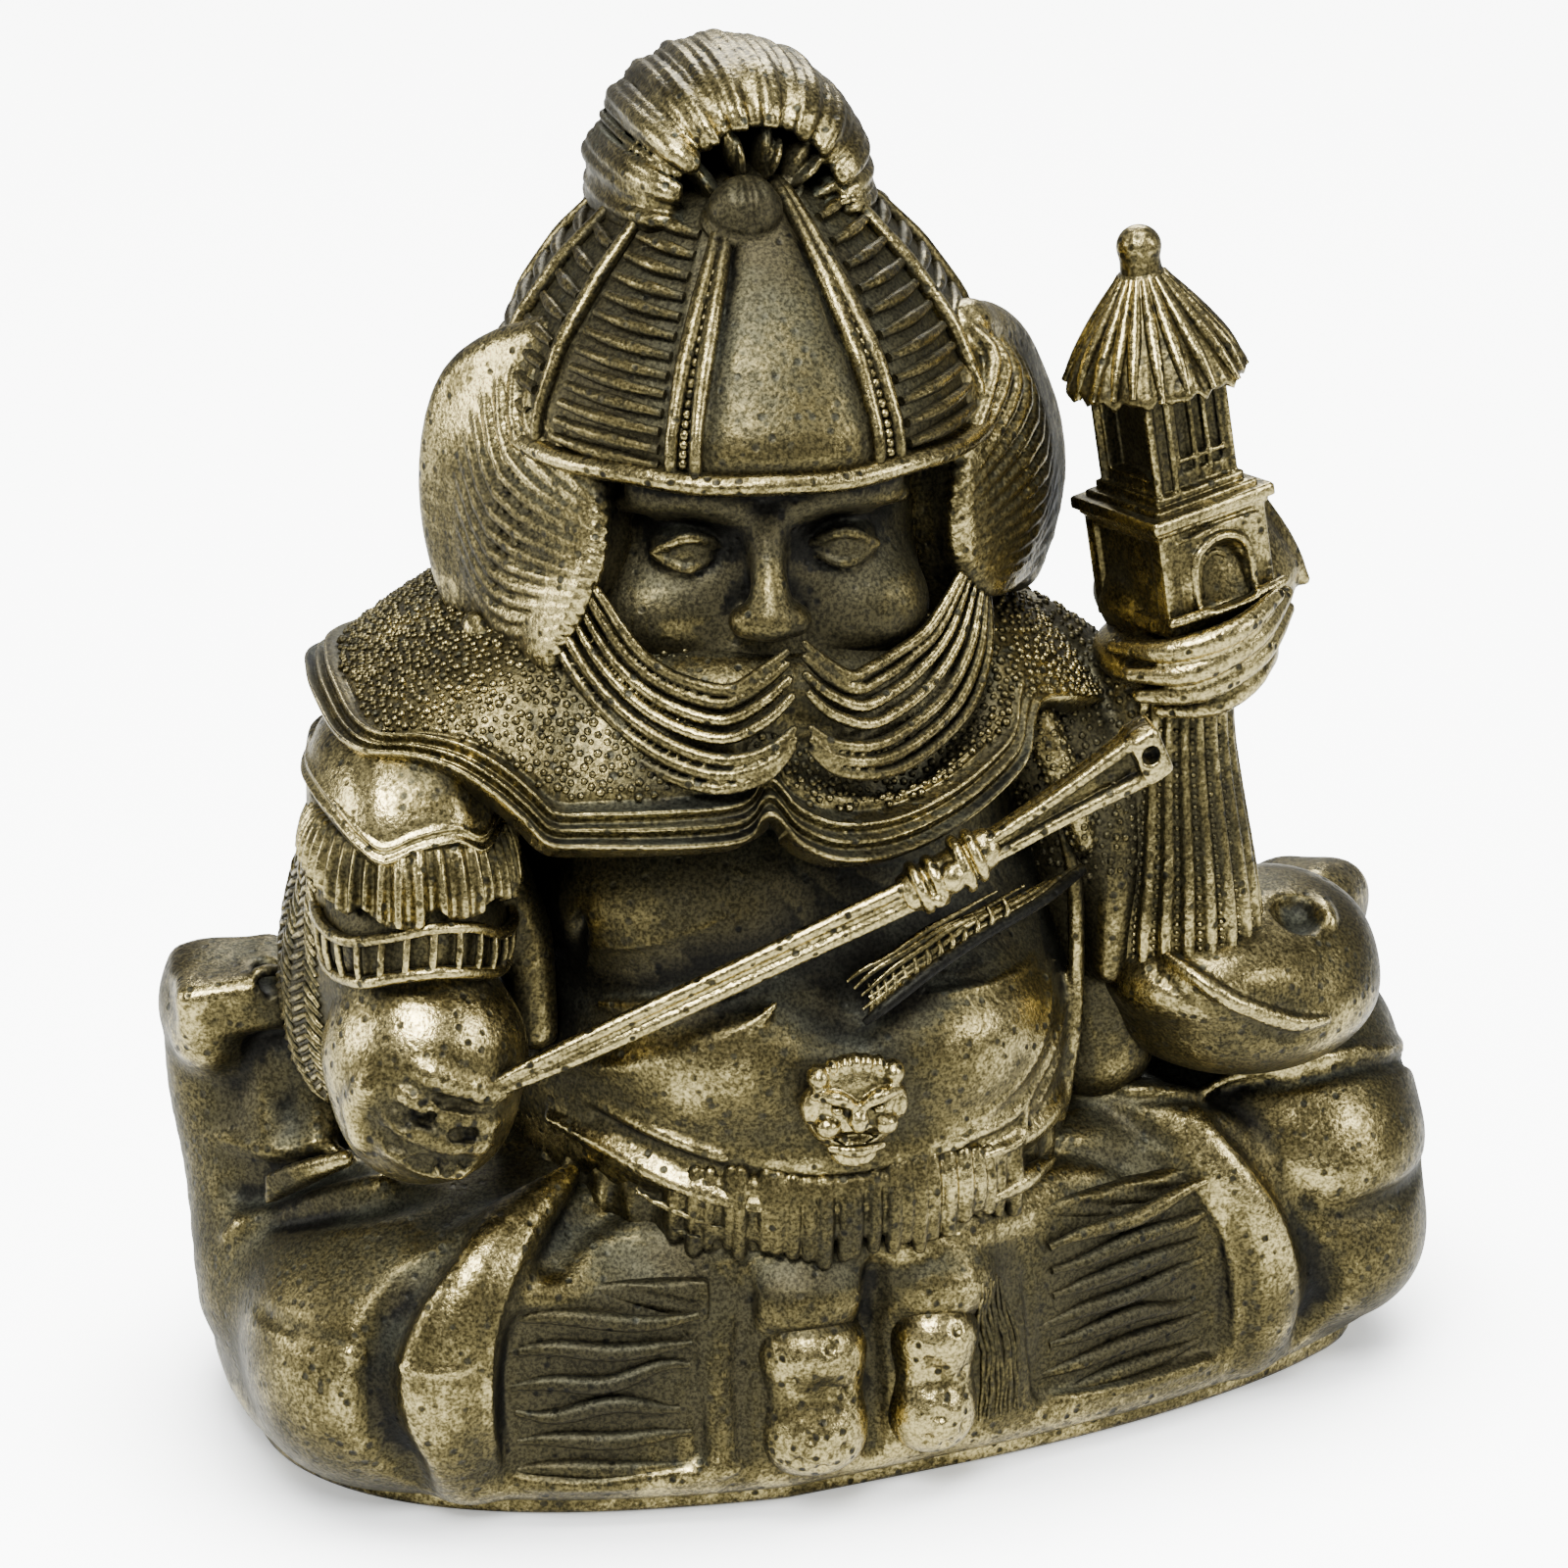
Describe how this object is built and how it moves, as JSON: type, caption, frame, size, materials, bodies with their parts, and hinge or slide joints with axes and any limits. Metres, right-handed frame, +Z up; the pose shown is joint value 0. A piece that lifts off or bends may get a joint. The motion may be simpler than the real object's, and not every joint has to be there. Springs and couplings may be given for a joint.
{
  "type": "incense figurine",
  "caption": "Small cast brass seated guardian in helmet and cape, holding a pagoda and a staff whose flared head is a socket for an incense stick.",
  "frame": {"origin": "on the table, under the middle of the figure's bounding box", "axes": "+Z up; the figure faces -Y, with its right hand and the staff's foot on the -X side and the pagoda on the +X side"},
  "size_m": [0.0624, 0.036, 0.067],
  "materials": {
    "aged_brass": "sand-cast brass with an olive-brown patina, worn yellow along its ridges",
    "worn_brass": "cast brass rubbed bright on its high points, with dark patina left in its hollows",
    "dark_brass": "cast brass under a nearly black olive patina"
  },
  "bodies": {
    "root": {"base_plate": "dark_brass", "staff_shaft": "aged_brass", "staff_collar": "worn_brass", "staff_head": "worn_brass", "head": "dark_brass", "topknot": "aged_brass", "helmet_knob": "dark_brass", "helmet_rim": "worn_brass", "helmet_bowl": "aged_brass", "moustache": "aged_brass", "beard": "aged_brass", "hair_lock_right": "aged_brass", "hair_lock_left": "aged_brass", "hair_back": "aged_brass", "cape": "aged_brass", "torso": "aged_brass", "belt_buckle": "worn_brass", "ribbon": "worn_brass", "fist_right": "worn_brass", "forearm_guard": "aged_brass", "sleeve_frill": "aged_brass", "shoulder_guard": "aged_brass", "side_armour": "dark_brass", "pagoda_finial": "aged_brass", "pagoda_roof": "aged_brass", "pagoda_drum": "dark_brass", "pagoda_gate": "aged_brass", "pagoda_dome": "aged_brass", "palm_left": "worn_brass", "sleeve_drape": "aged_brass", "sleeve_lip": "aged_brass", "arm_left": "dark_brass", "skirt": "dark_brass", "robe_wing_right": "aged_brass", "robe_wing_left": "aged_brass", "boot_right": "worn_brass", "boot_left": "worn_brass", "trouser_panel_right": "dark_brass", "trouser_panel_left": "dark_brass", "lap": "aged_brass"}
  },
  "joints": []
}
